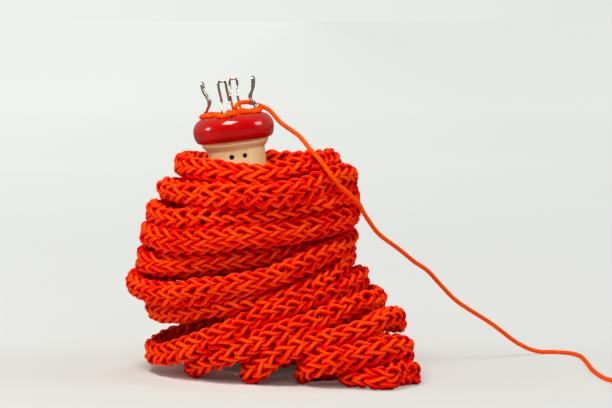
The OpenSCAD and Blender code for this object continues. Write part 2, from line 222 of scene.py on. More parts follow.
def linear(hex_colour):
    """sRGB hex to linear red, green, blue and alpha: the standard curve with its straight foot."""
    c = np.array([int(hex_colour[i:i + 2], 16) for i in (1, 3, 5)]) / 255
    return (*np.where(c <= 0.04045, c / 12.92, ((c + 0.055) / 1.055) ** 2.4), 1.0)


def add(tree, kind, inputs=None, stops=(), **settings):
    """Adds a node. Settings are its own values. Inputs are {socket: value}: an output of another node is
    linked to the socket, a node stands for its first output, and any other value is set on the socket.
    Stops are the (place, colour) pairs of a colour ramp, in order."""
    node = tree.nodes.new(kind)
    for key, value in settings.items():
        setattr(node, key, value)
    for socket, value in (inputs or {}).items():
        if isinstance(value, bpy.types.Node):
            value = value.outputs[0]
        if isinstance(value, bpy.types.NodeSocket):
            tree.links.new(value, node.inputs[socket])
        else:
            node.inputs[socket].default_value = value
    if stops:
        elements = node.color_ramp.elements
        elements.remove(elements[1])
        elements[0].position, elements[0].color = stops[0]
        for place, colour in stops[1:]:
            elements.new(place).color = colour
    return node


def bare_material(name):
    """Material with an empty node tree."""
    material = bpy.data.materials.new(name)
    material.use_nodes = True
    material.node_tree.nodes.clear()
    return material


def plied_yarn(name, deep, mid, light, painted_shade_amount):
    """Soft mercerised cotton, four plies twisted together: matt, saturated, with fine slanting furrows. Light
    and shade are painted into the colour: the side of the yarn that faces out of the knit is painted bright,
    the side turned inwards is painted deep red as shade, and yarn with other yarn close by is painted darker
    still."""
    material = bare_material(name)
    tree = material.node_tree
    place = add(tree, "ShaderNodeTexCoord").outputs["Object"]
    uv = add(tree, "ShaderNodeSeparateXYZ", {0: add(tree, "ShaderNodeUVMap", uv_map="UVMap")})
    # furrows round the yarn, which follow its plies
    slant = add(tree, "ShaderNodeMath", {0: uv.outputs[1], 1: 1 / (PLY_TURN * MM)}, operation="MULTIPLY")
    along = add(tree, "ShaderNodeMath", {0: uv.outputs[0], 1: slant}, operation="ADD")
    phase = add(tree, "ShaderNodeMath", {0: along, 1: PLIES * TAU}, operation="MULTIPLY")
    furrow = add(tree, "ShaderNodeMath", {0: phase}, operation="SINE")
    # loose fibres about 0.4 mm across and dye patches about 12 mm across
    fibre = add(tree, "ShaderNodeTexNoise", {"Vector": place, "Scale": 1 / 0.0004, "Detail": 2.0})
    patch = add(tree, "ShaderNodeTexNoise", {"Vector": place, "Scale": 1 / 0.012, "Detail": 1.0})
    dye = add(tree, "ShaderNodeMapRange", {0: patch, "To Min": 0.3, "To Max": 0.7})
    mottle = add(tree, "ShaderNodeMath", {0: furrow, 1: 0.05, 2: dye}, operation="MULTIPLY_ADD")
    # painted light and shade: u is 0 where the yarn faces out of the knit, or towards its ref for loose yarn;
    #     that side is painted brighter and the far side darker
    turn = add(tree, "ShaderNodeMath", {0: uv.outputs[0], 1: TAU}, operation="MULTIPLY")
    facing = add(tree, "ShaderNodeMath", {0: turn}, operation="COSINE")
    shade = add(tree, "ShaderNodeMath", {0: facing, 1: painted_shade_amount, 2: mottle}, operation="MULTIPLY_ADD")
    # painted shade: ambient occlusion from yarn within 5 mm pushes the tone down towards deep red, darkening
    # the
    #     recesses between strands
    yarn_occlusion = add(tree, "ShaderNodeAmbientOcclusion", {"Distance": 0.005}, samples=6)
    recess_painted_shade = add(tree, "ShaderNodeMapRange", {
        0: yarn_occlusion.outputs["AO"], "From Min": 0.25, "From Max": 1.0, "To Min": -painted_shade_amount, "To Max": 0.0})
    tone = add(tree, "ShaderNodeMath", {0: shade, 1: recess_painted_shade}, operation="ADD")
    colour = add(tree, "ShaderNodeValToRGB", {0: tone}, stops=[
        (0.2, linear(deep)), (0.68, linear(mid)), (0.88, linear(light))])
    relief = add(tree, "ShaderNodeMath", {0: fibre, 1: 0.5, 2: furrow}, operation="MULTIPLY_ADD")
    bump = add(tree, "ShaderNodeBump", {"Height": relief, "Strength": 0.3, "Distance": 0.0001})
    shader = add(tree, "ShaderNodeBsdfPrincipled", {
        "Base Color": colour, "Normal": bump, "Roughness": 0.75, "Specular IOR Level": 0.04})
    add(tree, "ShaderNodeOutputMaterial", {"Surface": shader})
    return material


def red_lacquer():
    """Beech dipped in red lacquer: deep colour under a hard gloss coat with a faint orange-peel ripple."""
    material = bare_material("red_gloss_lacquer")
    tree = material.node_tree
    place = add(tree, "ShaderNodeTexCoord").outputs["Object"]
    # ripple about 2.5 mm across, colour clouds about 9 mm across
    ripple = add(tree, "ShaderNodeTexNoise", {"Vector": place, "Scale": 1 / 0.0025, "Detail": 1.0})
    cloud = add(tree, "ShaderNodeTexNoise", {"Vector": place, "Scale": 1 / 0.009, "Detail": 2.0})
    colour = add(tree, "ShaderNodeValToRGB", {0: cloud}, stops=[
        (0.3, linear("#A80000")), (0.7, linear("#BC0000"))])
    bump = add(tree, "ShaderNodeBump", {"Height": ripple, "Strength": 0.12, "Distance": 0.00008})
    shader = add(tree, "ShaderNodeBsdfPrincipled", {
        "Base Color": colour, "Normal": bump, "Roughness": 0.28, "Specular IOR Level": 0.1,
        "Coat Normal": bump, "Coat Weight": 1.0, "Coat Roughness": 0.04})
    add(tree, "ShaderNodeOutputMaterial", {"Surface": shader})
    return material


def lacquered_wood():
    """Pale turned beech under clear lacquer: long fine grain up the stem, short flecks, faint tool rings."""
    material = bare_material("clear_lacquered_beech")
    tree = material.node_tree
    place = add(tree, "ShaderNodeTexCoord").outputs["Object"]
    up = add(tree, "ShaderNodeMapping", {"Vector": place, "Rotation": (0, LEAN, 0)})
    # grain lines about 1.2 mm apart and 25 times as long, flecks 0.5 mm by 3 mm
    long = add(tree, "ShaderNodeMapping", {"Vector": up, "Scale": (1 / 0.0012, 1 / 0.0012, 1 / 0.03)})
    grain = add(tree, "ShaderNodeTexNoise", {"Vector": long, "Scale": 1.0, "Detail": 3.0})
    short = add(tree, "ShaderNodeMapping", {"Vector": up, "Scale": (1 / 0.0005, 1 / 0.0005, 1 / 0.003)})
    fleck = add(tree, "ShaderNodeTexNoise", {"Vector": short, "Scale": 1.0, "Detail": 1.0})
    shade = add(tree, "ShaderNodeMath", {0: fleck, 1: 0.35, 2: grain}, operation="MULTIPLY_ADD")
    colour = add(tree, "ShaderNodeValToRGB", {0: shade}, stops=[
        (0.3, linear("#F3D48E")), (0.7, linear("#F9E3A4")), (1.0, linear("#FDEDBA"))])
    # tool rings 0.6 mm apart up the stem
    height = add(tree, "ShaderNodeSeparateXYZ", {0: up})
    ring = add(tree, "ShaderNodeMath", {0: height.outputs[2], 1: TAU / 0.0006}, operation="MULTIPLY")
    wave = add(tree, "ShaderNodeMath", {0: ring}, operation="SINE")
    relief = add(tree, "ShaderNodeMath", {0: wave, 1: 0.25, 2: fleck}, operation="MULTIPLY_ADD")
    bump = add(tree, "ShaderNodeBump", {"Height": relief, "Strength": 0.15, "Distance": 0.00005})
    shader = add(tree, "ShaderNodeBsdfPrincipled", {
        "Base Color": colour, "Normal": bump, "Roughness": 0.42,
        "Coat Weight": 0.35, "Coat Roughness": 0.18})
    add(tree, "ShaderNodeOutputMaterial", {"Surface": shader})
    return material


def plated_wire():
    """Nickel-plated steel wire, drawn then plated: bright, with fine scuffs along the hooks."""
    material = bare_material("nickel_plated_wire")
    tree = material.node_tree
    place = add(tree, "ShaderNodeTexCoord").outputs["Object"]
    # scuffs about 0.3 mm across
    scuff = add(tree, "ShaderNodeTexNoise", {"Vector": place, "Scale": 1 / 0.0003, "Detail": 2.0})
    colour = add(tree, "ShaderNodeValToRGB", {0: scuff}, stops=[
        (0.3, linear("#E2DCC8")), (0.7, linear("#FBF7E8"))])
    rough = add(tree, "ShaderNodeMapRange", {0: scuff, "To Min": 0.13, "To Max": 0.28})
    shader = add(tree, "ShaderNodeBsdfPrincipled", {
        "Base Color": colour, "Roughness": rough, "Metallic": 1.0})
    add(tree, "ShaderNodeOutputMaterial", {"Surface": shader})
    return material


def eye_paint():
    """Thick black enamel dabbed on with a round stick: glossy, a little uneven."""
    material = bare_material("black_enamel_dot")
    tree = material.node_tree
    place = add(tree, "ShaderNodeTexCoord").outputs["Object"]
    # unevenness about 0.8 mm across
    dab = add(tree, "ShaderNodeTexNoise", {"Vector": place, "Scale": 1 / 0.0008, "Detail": 1.0})
    colour = add(tree, "ShaderNodeValToRGB", {0: dab}, stops=[
        (0.3, linear("#050404")), (0.7, linear("#100C0A"))])
    shader = add(tree, "ShaderNodeBsdfPrincipled", {
        "Base Color": colour, "Roughness": 0.3, "Coat Weight": 0.5})
    add(tree, "ShaderNodeOutputMaterial", {"Surface": shader})
    return material


# in each yarn the deep red is painted shade and the bright orange is painted light; the last number sets how
# strongly the inward side is painted darker
ORANGE = plied_yarn("orange_cotton_knit", "#BC0000", "#F00000", "#FF5200", 0.36)
LOOSE = plied_yarn("orange_cotton_yarn", "#FF4000", "#FF5800", "#FF6600", 0.05)
LACQUER = red_lacquer()
BEECH = lacquered_wood()
WIRE = plated_wire()
ENAMEL = eye_paint()

# Camera: a long lens, a little above the pile, as the photograph was taken
PITCH = math.radians(4.85)
SENSOR, FOCAL_PIXELS, PHOTO_PIXELS = 36, 2278, 612
camera = bpy.data.objects.new("camera", bpy.data.cameras.new("camera"))
bpy.context.scene.collection.objects.link(camera)
camera.location = (0.0246, -1.180, 0.187)
camera.rotation_euler = (math.pi / 2 - PITCH, 0, 0)
camera.data.sensor_fit = "HORIZONTAL"
camera.data.sensor_width = SENSOR
camera.data.lens = SENSOR * FOCAL_PIXELS / PHOTO_PIXELS
camera.data.clip_end = 200
bpy.context.scene.camera = camera

# The knitted cord

# as the shorter side of a loop's quarter falls below this share of the longer one, over this span, its oval
# gets a higher power, by up to the last number
NARROW_SHARE, NARROW_SPAN, BLUNTER = 0.75, 0.3, 0.3
# one stitch: its course along the cord, its loop's height in courses, the swing from its foot to its head, the
# yarn's radius from the middle of the cord and its way in and out, and the rise on the ridge of a wale
WALES, COURSE, LOOP_HIGH, LOOP_SWING, KNIT_R, KNIT_DEEP, RIDGE = 4, 7.0, 1.62, 0.33, 2.75, 1.0, 0.14
UNEVEN_HIGH, UNEVEN_SWING, UNEVEN_TURN, UNEVEN_R = 0.14, 0.04, 0.1, 0.19
# the wales roll slowly round the cord, a crease wanders, and a bare end is drawn in
ROLL, ROLL_EVERY = 0.6, 60
CREASE_WANDER, CREASE_EVERY, CREASE_HALF = 0.35, 70, 0.5
END_SHARE, END_LONG, END_CLEAR = 0.45, 7, 0.3
KNIT_TURN, KNIT_YARN_R, UNEVEN_YARN = 0.5, 1.28, 0.05
# slack: how far apart the pushes are, how long an end is held, and each push and the most that it may be
SLACK_SEED, SLACK_EVERY, SLACK_HOLD = 4993, 25, 20
ACROSS, ACROSS_MOST, UP, UP_MOST = 1.3, 2.2, 1.2, 2.0
# heights below which the loops are pressed on the table, and above which the topmost one is loose
PRESSED_BELOW, PRESSED_SPAN, LOOSE_ABOVE, LOOSE_SPAN = 38, 22, 98, 5
# the cord's width and height as shares of its stitches' radius, firm and pressed or loose, and how they change
FIRM_WIDE, PRESSED_WIDE, CHANGE_WIDE = 1.06, 1.18, 0.05
FIRM_FAT, LOOSE_FAT, CHANGE_FAT = 1.28, 1.36, 0.06
CREASE_DEEP, CHANGE_CREASE, CREASE_MOST, FATTER_BY_CREASE = 0.22, 0.24, 0.5, 0.3
QUARTER_STEPS = 24
CORD_STEP = 6.0


def loop_path(steps):
    """Middle of the outer turns. Between two neighbouring stations it is a quarter of an ellipse seen from
    above, or where that is narrow, at the folds on the table, of a blunter oval with powers up to 2.3 for
    squares. Its height is a smooth curve through all stations, never below the table."""
    p = LOOPS.reshape(-1, 3)
    z = np.concatenate([p[:1, 2], p[:, 2], p[-1:, 2]])[:, None]
    t = (np.arange(steps) / steps)[None, :]
    a, b = p[:-1, None, :], p[1:, None, :]
    wide, deep = np.abs(b - a)[..., 0], np.abs(b - a)[..., 1]
    share = np.minimum(wide, deep) / np.maximum(wide, deep)
    power = 2 / (2 + BLUNTER * np.clip((NARROW_SHARE - share) / NARROW_SPAN, 0, 1))
    c, s = np.cos(t * math.pi / 2) ** power, np.sin(t * math.pi / 2) ** power
    outwards = (np.arange(len(p) - 1) % 2 == 0)[:, None]
    x = np.where(outwards, mix(b[..., 0], a[..., 0], c), mix(a[..., 0], b[..., 0], s))
    y = np.where(outwards, mix(a[..., 1], b[..., 1], s), mix(b[..., 1], a[..., 1], c))
    sway = SWAYS.reshape(-1, 1)[:-1] * np.sin(t * math.pi) ** 2
    high = np.maximum(CORD_HIGH / 2 + TABLE_GAP, span(z[:-3], z[1:-2], z[2:-1], z[3:], t) + sway)
    return np.stack([x, y, high], axis=-1).reshape(-1, 3)


def tail_path(steps, straight=4):
    """Upper end of the cord: a quarter bend, then straight down into the inner turns behind the neck. Also
    gives the direction that is above the cord at each point."""
    r = (CORE_HIGH_R + FOOT_R + SOCKET_ROOM) / 2
    foot = stood([0, r, SOCKET_DEPTH + END_GAP])
    top = stood([0, r, SOCKET_DEPTH + END_GAP + CORD_HIGH])
    start = LOOPS[-1, -1]
    t = np.arange(steps + 1) / steps
    turn = t * math.pi / 2
    bend = np.stack([mix(start[0], top[0], np.sin(turn)), mix(start[1], top[1], t),
                     mix(top[2], start[2], np.cos(turn))], axis=-1)
    down = mix(top, foot, (np.arange(1, straight + 1) / straight)[:, None])
    above = np.stack([-np.sin(turn), 0 * turn, np.cos(turn)], axis=-1)
    return np.vstack([bend, down]), np.vstack([above, np.tile(-SIDEWAYS, (straight, 1))])


def drift(count, every, amount, seed):
    """Slow random change over count points: a smooth curve through random values one every so many points."""
    knots = np.random.default_rng(seed).normal(0, amount, (count // every + 3, 1))
    return smooth(knots, every)[:count, 0]


def knit_yarn(path, above, course, wide, high, turn, points, seed, ends=(True, True), crease=0.0):
    """Middle line of one yarn knitted round a cord in four wales, and the outward direction at each point.
    Stitch number s runs on, with phase t = 2 pi s. Round the cord it goes a quarter turn for each stitch and
    swings by sin 2t, so that a loop is narrow at its foot and wide at its head. Along the cord it goes one
    course for every four stitches, and to and fro by half a loop's height times -cos t. Legs lie outside and
    heads inside: its radius is 2.75 - cos 2t millimetres, more on the ridge of each wale and less in the
    valleys between them, and made wider or higher for the flattened cord. A crease is a furrow along the
    outer side: within about half a radian of its line the radius is less by that share."""
    rng = np.random.default_rng(seed)
    run = run_of(path)
    way = unit(np.gradient(path, axis=0))
    side = unit(np.cross(way, above))
    over = np.cross(side, way)
    stitches = int(WALES * run[-1] / course)
    s = np.arange(stitches * points + 1) / points
    t = TAU * s
    every_stitch = np.arange(stitches + 2)

    def uneven(amount):
        """Hand tension: a small change from stitch to stitch."""
        return np.interp(s, every_stitch, rng.normal(0, amount, stitches + 2))

    def marks(every):
        """Places along the cord about so many millimetres apart."""
        return np.linspace(0, run[-1], 2 + int(run[-1] / every))

    loop = course * LOOP_HIGH * (1 + uneven(UNEVEN_HIGH))
    v = np.clip(run[-1] * s / stitches - loop / 2 * np.cos(t), END_CLEAR, run[-1] - END_CLEAR)
    rolls = marks(ROLL_EVERY)
    roll = np.interp(v, rolls, np.cumsum(rng.normal(0, ROLL, len(rolls))))
    swing = LOOP_SWING + uneven(UNEVEN_SWING)
    wale = TAU / WALES * (s + swing * np.sin(2 * t)) + uneven(UNEVEN_TURN)
    phi = wale + turn + roll
    r = (KNIT_R - KNIT_DEEP * np.cos(2 * t) + uneven(UNEVEN_R)) * (1 - RIDGE * np.cos(WALES * wale))
    wide, high, crease = (np.interp(v, run, np.broadcast_to(k, len(path))) for k in (wide, high, crease))
    creases = marks(CREASE_EVERY)
    crease_line = CREASE_WANDER * np.interp(v, creases, rng.normal(0, 1, len(creases)))
    off = np.angle(np.exp(1j * (phi - crease_line)))
    r = r * (1 - crease * np.exp(-(off / CREASE_HALF) ** 2))
    shrink = np.ones_like(v)
    for bare, from_end in zip(ends, (v, run[-1] - v)):
        if bare:
            shrink = shrink * mix(END_SHARE, 1, np.clip(from_end / END_LONG, 0, 1))
    across = (wide * np.cos(phi) * shrink)[:, None] * unit(rows_at(v, run, side))
    up = (high * np.sin(phi) * shrink)[:, None] * unit(rows_at(v, run, over))
    out = across + up
    return rows_at(v, run, path) + r[:, None] * out, unit(out)


def knitted_cord(name, path, above, seed, wide=0.95, high=1.3, points=20, sides=7, ends=(True, True),
                 crease=0.0):
    """A length of knitted cord as one yarn tube, a little uneven in thickness, through all its stitches."""
    line, out = knit_yarn(path, above, COURSE, wide, high, KNIT_TURN, points, seed, ends, crease)
    plump = KNIT_YARN_R * (1 + drift(len(line), 40, UNEVEN_YARN, seed + 50))
    return tube_piece(name, line, out, plump, sides, ORANGE)


def slack(path, above, step, seed):
    """The same path as a limp cord lies along it: pushed up to about two millimetres to the side and up or
    down, by smooth random drifts whose values are 25 mm apart, and not at all at its ends."""
    way = unit(np.gradient(path, axis=0))
    side = unit(np.cross(way, above))
    every = max(1, int(SLACK_EVERY / step))
    n = len(path)
    hold = np.clip(np.minimum(np.arange(n), np.arange(n)[::-1]) * step / SLACK_HOLD, 0, 1)
    across = np.clip(drift(n, every, ACROSS, seed), -ACROSS_MOST, ACROSS_MOST) * hold
    up = np.clip(drift(n, every, UP, seed + 1), -UP_MOST, UP_MOST) * hold
    return path + across[:, None] * side + up[:, None] * np.cross(side, way)


def cord_drift(every, amount, seed):
    """Slow random change along the whole winding, with a new value every so many millimetres."""
    return drift(len(cord_line), int(every / STEP), amount, seed)


loops = loop_path(QUARTER_STEPS)
tail, tail_above = tail_path(QUARTER_STEPS)
cord_line = np.vstack([loops, tail])
cord_above = np.vstack([np.tile(UPWARDS, (len(loops), 1)), tail_above])
STEP = run_of(cord_line)[-1] / len(cord_line)
slack_line = slack(cord_line, cord_above, STEP, SLACK_SEED)
# the loops on the table are pressed broader and fatter, and the topmost loop is as plump as they are
low = np.clip((PRESSED_BELOW - cord_line[:, 2]) / PRESSED_SPAN, 0, 1)
top = np.clip((cord_line[:, 2] - LOOSE_ABOVE) / LOOSE_SPAN, 0, 1)
cord_crease = np.clip(CREASE_DEEP + cord_drift(45, CHANGE_CREASE, seed=101), 0, CREASE_MOST)
cord_wide = mix(FIRM_WIDE, PRESSED_WIDE, low) * (1 + cord_drift(30, CHANGE_WIDE, seed=81))
cord_fat = mix(FIRM_FAT, LOOSE_FAT, np.maximum(low, top)) + FATTER_BY_CREASE * cord_crease
cord_fat = cord_fat * (1 + cord_drift(24, CHANGE_FAT, seed=91))
# one cord in three pieces, four loops in each
LOOP_STEPS = 4 * QUARTER_STEPS
CUTS = (0, 4 * LOOP_STEPS, 8 * LOOP_STEPS, len(cord_line) - 1)
for number, name in enumerate(("winding_foot", "winding_middle", "winding_top")):
    part = slice(CUTS[number], CUTS[number + 1] + 1)
    knit_line = slack_line[part]
    cord = knitted_cord(name, knit_line, cord_above[part], seed=11 + number, wide=cord_wide[part],
                        high=cord_fat[part], ends=(number == 0, False), crease=cord_crease[part])
    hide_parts("knitted_winding")
    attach(cord, "winding")
    line = even(knit_line[::-1], CORD_STEP) * MM

# Inner turns: the middle of the cord from a drum's side and from a flat face, then the turns at which each part
# begins or how many it takes
EDGE, BED, UPPER_FOOT = 4.8, 5.2, -2.0
LOW_TURNS, OUT_FROM, OUT_SPAN = 3.5, 3.4, 0.6
UPPER_FROM, UPPER_SPAN, INWARDS_FROM, ALL_TURNS = 4.0, 4.3, 8.4, 11.3


def inner_path(steps=72):
    """Inner turns: a helix up the lower drum, out to the upper drum in about half a turn, a helix up that one
    about the leaning nancy, one turn inwards on its top and the rest round the socket."""
    u = np.arange(0, ALL_TURNS, 1 / steps)
    low_r, high_r, last_r = CORE_LOW_R - EDGE, CORE_HIGH_R - EDGE, FOOT_R + SOCKET_ROOM + CORD_HIGH / 2
    low = np.stack([CORE_LOW_AT[0] + low_r * np.cos(TAU * u), CORE_LOW_AT[1] + low_r * np.sin(TAU * u),
                    BED + CORD_HIGH * np.minimum(u, LOW_TURNS)], axis=-1)
    climb = np.clip((u - UPPER_FROM) / UPPER_SPAN, 0, 1)
    r = mix(high_r, last_r, np.clip(u - INWARDS_FROM, 0, 1))
    z = mix(UPPER_FOOT, SOCKET_DEPTH - BED, climb)
    upper = stood(np.stack([r * np.cos(TAU * u), r * np.sin(TAU * u), z], axis=-1))
    move = np.clip((u - OUT_FROM) / OUT_SPAN, 0, 1)
    ease = (move * move * (3 - 2 * move))[:, None]
    return mix(low, upper, ease)


inner_line = even(inner_path(), 2.0)
inner = knitted_cord("inner_turns", inner_line, UPWARDS, seed=31, points=12, sides=6)
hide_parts("inner_winding")
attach(inner, "winding")

# The tube in the bore, the live stitches and the free yarn

TUBE_COURSE, TUBE_FAT, TUBE_TURN, TUBE_YARN_R, TUBE_SIDES = 5.2, 1.35, 0.3, 1.1, 6
STITCH_R, STITCH_SHIFT, STITCH_UNEVEN = 1.15, 0.22, 0.07
YARN_SIDES, YARN_STEP = 16, 0.45
TIE_ROOM, TIE_STEP, OBLONG_POWER = 0.2, 0.6, 0.35
COIL_PITCH = YARN_D + COIL_ROOM
COIL_LOW = TIE_T + TIE_ROOM + YARN_D / 2
COIL_OUT_R = COIL_MID_R + COIL_PITCH * COIL_TURNS / 2

up_bore = np.linspace(0.8, NANCY_H - TUBE_DROP - 0.6, 60)
bore_line = stood(np.stack([0 * up_bore, 0 * up_bore, up_bore], axis=-1))
tube_line, tube_out = knit_yarn(bore_line, BACKWARDS, TUBE_COURSE, TUBE_FAT, TUBE_FAT, TUBE_TURN,
                                points=14, seed=61, ends=(False, False))
tube_knit = tube_piece("knitted_tube_yarn", tube_line, tube_out, TUBE_YARN_R, TUBE_SIDES, ORANGE)
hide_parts("knitted_tube")
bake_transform(tube_knit)


def stitch_path():
    """A live stitch on the right-hand hook: up out of the bore, round both legs and back into the bore."""
    leg_r, leg_side, lie = BORE_R - 1.8, 2.5, YARN_D / 2 + 0.1
    flank = LEG_GAP / 2 + WIRE_D / 2 + SEAT_GAP + YARN_D / 2
    out_r = HOOK_R + HOOK_BENDS[1, 1] * WIRE_D + WIRE_D / 2 + SEAT_GAP + YARN_D / 2
    half = np.array([
        [leg_r, leg_side, SEAT_GAP - TUBE_DROP], [leg_r, leg_side, -3], [leg_r, leg_side, -1],
        [leg_r + 1.1, leg_side + 0.5, lie], [leg_r + 3.6, flank - 0.2, lie + 0.1],
        [out_r - 3.2, flank + 0.1, lie], [out_r - 0.9, flank - 0.6, lie], [out_r + 0.1, leg_side - 0.9, lie]])
    return smooth(np.vstack([half, half[::-1] * [1, -1, 1]]) + [0, 0, NANCY_H], steps=6)


HOOKS = (("right", 0), ("back", 1), ("left", 2), ("front", 3))
for name, quarters in HOOKS:
    turn = quarters * math.pi / 2 + HOOK_TURN
    line = stood(turned_round(stitch_path(), turn))
    ref = stood(turned_round(np.array([1.0, 0, -1]), turn)) - STAND
    # no stitch lies quite as its neighbours do
    n = len(line)
    shift = [drift(n, 6, STITCH_SHIFT, seed=200 + 3 * quarters + k) for k in range(3)]
    line = line + np.stack(shift, axis=1)
    plump = STITCH_R * (1 + drift(n, 5, STITCH_UNEVEN, seed=220 + quarters))
    stitch = tube_piece("stitch_%s_yarn" % name, line, unit(ref), plump, YARN_SIDES, LOOSE, PLY_DEPTH)
    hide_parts("stitch_" + name)
    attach(stitch, "nancy")

lead_line = even(stood(smooth(LEAD_ROUTE + [0, 0, NANCY_H], steps=8)), YARN_STEP)
lead = tube_piece("yarn_over_rim", lead_line, UPWARDS, FLUFFY_R, YARN_SIDES, LOOSE, PLY_DEPTH)
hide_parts("yarn_lead")
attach(lead, "nancy")


def coil_path(steps=48):
    """Put-away yarn: a flat spiral inwards, up one layer in half a turn, and a flat spiral outwards."""
    turn = np.arange(0, 2 * COIL_TURNS + 0.5 + 1e-6, 1 / steps)
    r = COIL_OUT_R - COIL_PITCH * np.minimum(turn, 2 * COIL_TURNS + 0.5 - turn)
    z = COIL_LOW + COIL_PITCH * np.clip((turn - COIL_TURNS) / 0.5, 0, 1)
    line = np.stack([COIL_AT[0] - r * np.cos(TAU * turn), COIL_AT[1] - r * np.sin(TAU * turn), z], axis=-1)
    return np.vstack([line[:1] + [0, YARN_D, 0], line, line[-1:] + unit(line[-1] - line[-2]) * YARN_D])


coil_line = coil_path()
# it is one yarn with the lead, so it begins inside the lead's end
free_stations = np.vstack([lead_line[-2], FREE_ROUTE, coil_line[0] + [0, SEAT_GAP, 0]])
free_line = even(smooth(free_stations, steps=10), YARN_STEP)
free = tube_piece("free_yarn", free_line, UPWARDS, FLUFFY_R, YARN_SIDES, LOOSE, PLY_DEPTH)
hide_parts("working_yarn")
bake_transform(free)


def tie_path(count=72):
    """The tie: a closed rounded oblong of flattened yarn round all the turns at the near side of the coil. Its
    two sides are the cosine and the sine of one turn, each raised to a power of 0.35."""
    inner_r = COIL_OUT_R - COIL_PITCH * (COIL_TURNS + 0.25) - YARN_D / 2 - TIE_ROOM
    outer_r = COIL_OUT_R + YARN_D / 2 + TIE_ROOM
    low, high = COIL_LOW - YARN_D / 2 - TIE_ROOM, COIL_LOW + COIL_PITCH + YARN_D / 2 + TIE_ROOM
    t = np.linspace(0, TAU, count)
    c, s = np.cos(t), np.sin(t)
    half_w, half_h = (outer_r - inner_r + TIE_T) / 2, (high - low + TIE_T) / 2
    across = half_w * np.sign(c) * np.abs(c) ** OBLONG_POWER
    up = half_h * np.sign(s) * np.abs(s) ** OBLONG_POWER
    y = COIL_AT[1] - (inner_r + outer_r) / 2 - across
    return np.stack([np.full(count, COIL_AT[0]), y, (low + high) / 2 + up], axis=-1)


coil_fine = even(coil_line, YARN_STEP)
coil = tube_piece("coiled_yarn", coil_fine, UPWARDS, FLUFFY_R, YARN_SIDES, LOOSE, PLY_DEPTH)
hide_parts("yarn_coil")
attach(coil, "winding")
tie = tube_piece("coil_tie_yarn", even(tie_path(), TIE_STEP), SIDEWAYS, TIE_T / 2, YARN_SIDES, LOOSE,
                 broad=TIE_W / TIE_T)
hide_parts("coil_tie")
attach(tie, "winding")

# The turned wood

# height of the waist as a share of the stem's, the upright part over the rounded foot, and edges sanded off
WAIST_AT, FOOT_UP, SANDED, BORE_SANDED, MOUTH_ROUND = 0.45, 3, 0.1, 0.3, 1


def turned_piece(name, outline, material, segments=144):
    """Body of revolution: a closed outline of [radius, height] carried once round the leaning axis."""
    n = len(outline)
    turn = (np.arange(segments) * TAU / segments)[:, None]
    r, z = outline[None, :, 0], outline[None, :, 1]
    points = stood(np.stack([r * np.cos(turn), r * np.sin(turn), z + 0 * turn], axis=-1)).reshape(-1, 3)
    i, j = np.meshgrid(np.arange(segments), np.arange(n), indexing="ij")
    a, b = (i + 1) % segments, (j + 1) % n
    quads = np.stack([i * n + j, a * n + j, a * n + b, i * n + b], axis=-1).reshape(-1, 4)
    return new_piece(name, points, [quads], material)


def quarter(count):
    """Sine and cosine over a quarter turn."""
    t = np.linspace(0, math.pi / 2, count)
    return np.sin(t), np.cos(t)


def body_outline():
    """Stem: rounded foot, then in to the waist, out to the neck and out to the shoulder, then the spigot and
    the bore. Between two stations the height grows evenly and the radius by half of one minus the cosine."""
    s, c = quarter(9)
    foot = np.stack([FOOT_R - FOOT_ROUND + FOOT_ROUND * s, FOOT_ROUND - FOOT_ROUND * c], axis=-1)
    stations = np.array([[FOOT_R, FOOT_ROUND + FOOT_UP], [WAIST_R, BODY_H * WAIST_AT],
                         [NECK_R, BODY_H - FLARE_H], [SHOULDER_R, BODY_H - SHOULDER_RIM]])
    t = np.linspace(0, 1, 16, endpoint=False)
    ease = (1 - np.cos(math.pi * t)) / 2
    swell = np.vstack([np.stack([mix(a[0], b[0], ease), mix(a[1], b[1], t)], axis=-1)
                       for a, b in zip(stations[:-1], stations[1:])])
    top = np.array([
        [SHOULDER_R, BODY_H - SANDED], [SHOULDER_R - SANDED, BODY_H], [SPIGOT_R, BODY_H],
        [SPIGOT_R, BODY_H + SPIGOT_H], [BORE_R, BODY_H + SPIGOT_H],
        [BORE_R, BORE_SANDED], [BORE_R + BORE_SANDED, 0]])
    return np.vstack([foot, swell, stations[-1:], top])


def cap_outline():
    """Cap: a bulge from the shoulder out to the widest line and in to the flat top, then the bore's mouth."""
    s, c = quarter(25)
    under_r = SHOULDER_R + CAP_LIP
    lower = np.stack([under_r + (CAP_R - under_r) * s, BODY_H + CAP_BELLY_H * (1 - c)], axis=-1)
    upper = np.stack([CAP_FLAT_R + (CAP_R - CAP_FLAT_R) * c,
                      BODY_H + CAP_BELLY_H + (CAP_H - CAP_BELLY_H) * s], axis=-1)
    s, c = quarter(9)
    mouth = np.stack([BORE_R + MOUTH_ROUND * (1 - s), NANCY_H - MOUTH_ROUND * (1 - c)], axis=-1)
    socket_r, socket_top = SPIGOT_R + GLUE_GAP, BODY_H + SPIGOT_H + GLUE_GAP
    inside = np.array([[BORE_R, socket_top], [socket_r, socket_top], [socket_r, BODY_H]])
    return np.vstack([lower, upper[1:], mouth, inside])


stem = turned_piece("turned_stem", body_outline(), BEECH)
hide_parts("turned_body")
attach(stem, "nancy")
cap = turned_piece("lacquered_cap", cap_outline(), LACQUER)
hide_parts("cap")
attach(cap, "nancy")


# the middle of a painted dot over its edge, its edge over the wood, and its hidden foot in the wood
PAINT_DOME, PAINT_EDGE, PAINT_SUNK = 0.12, 0.02, -0.05


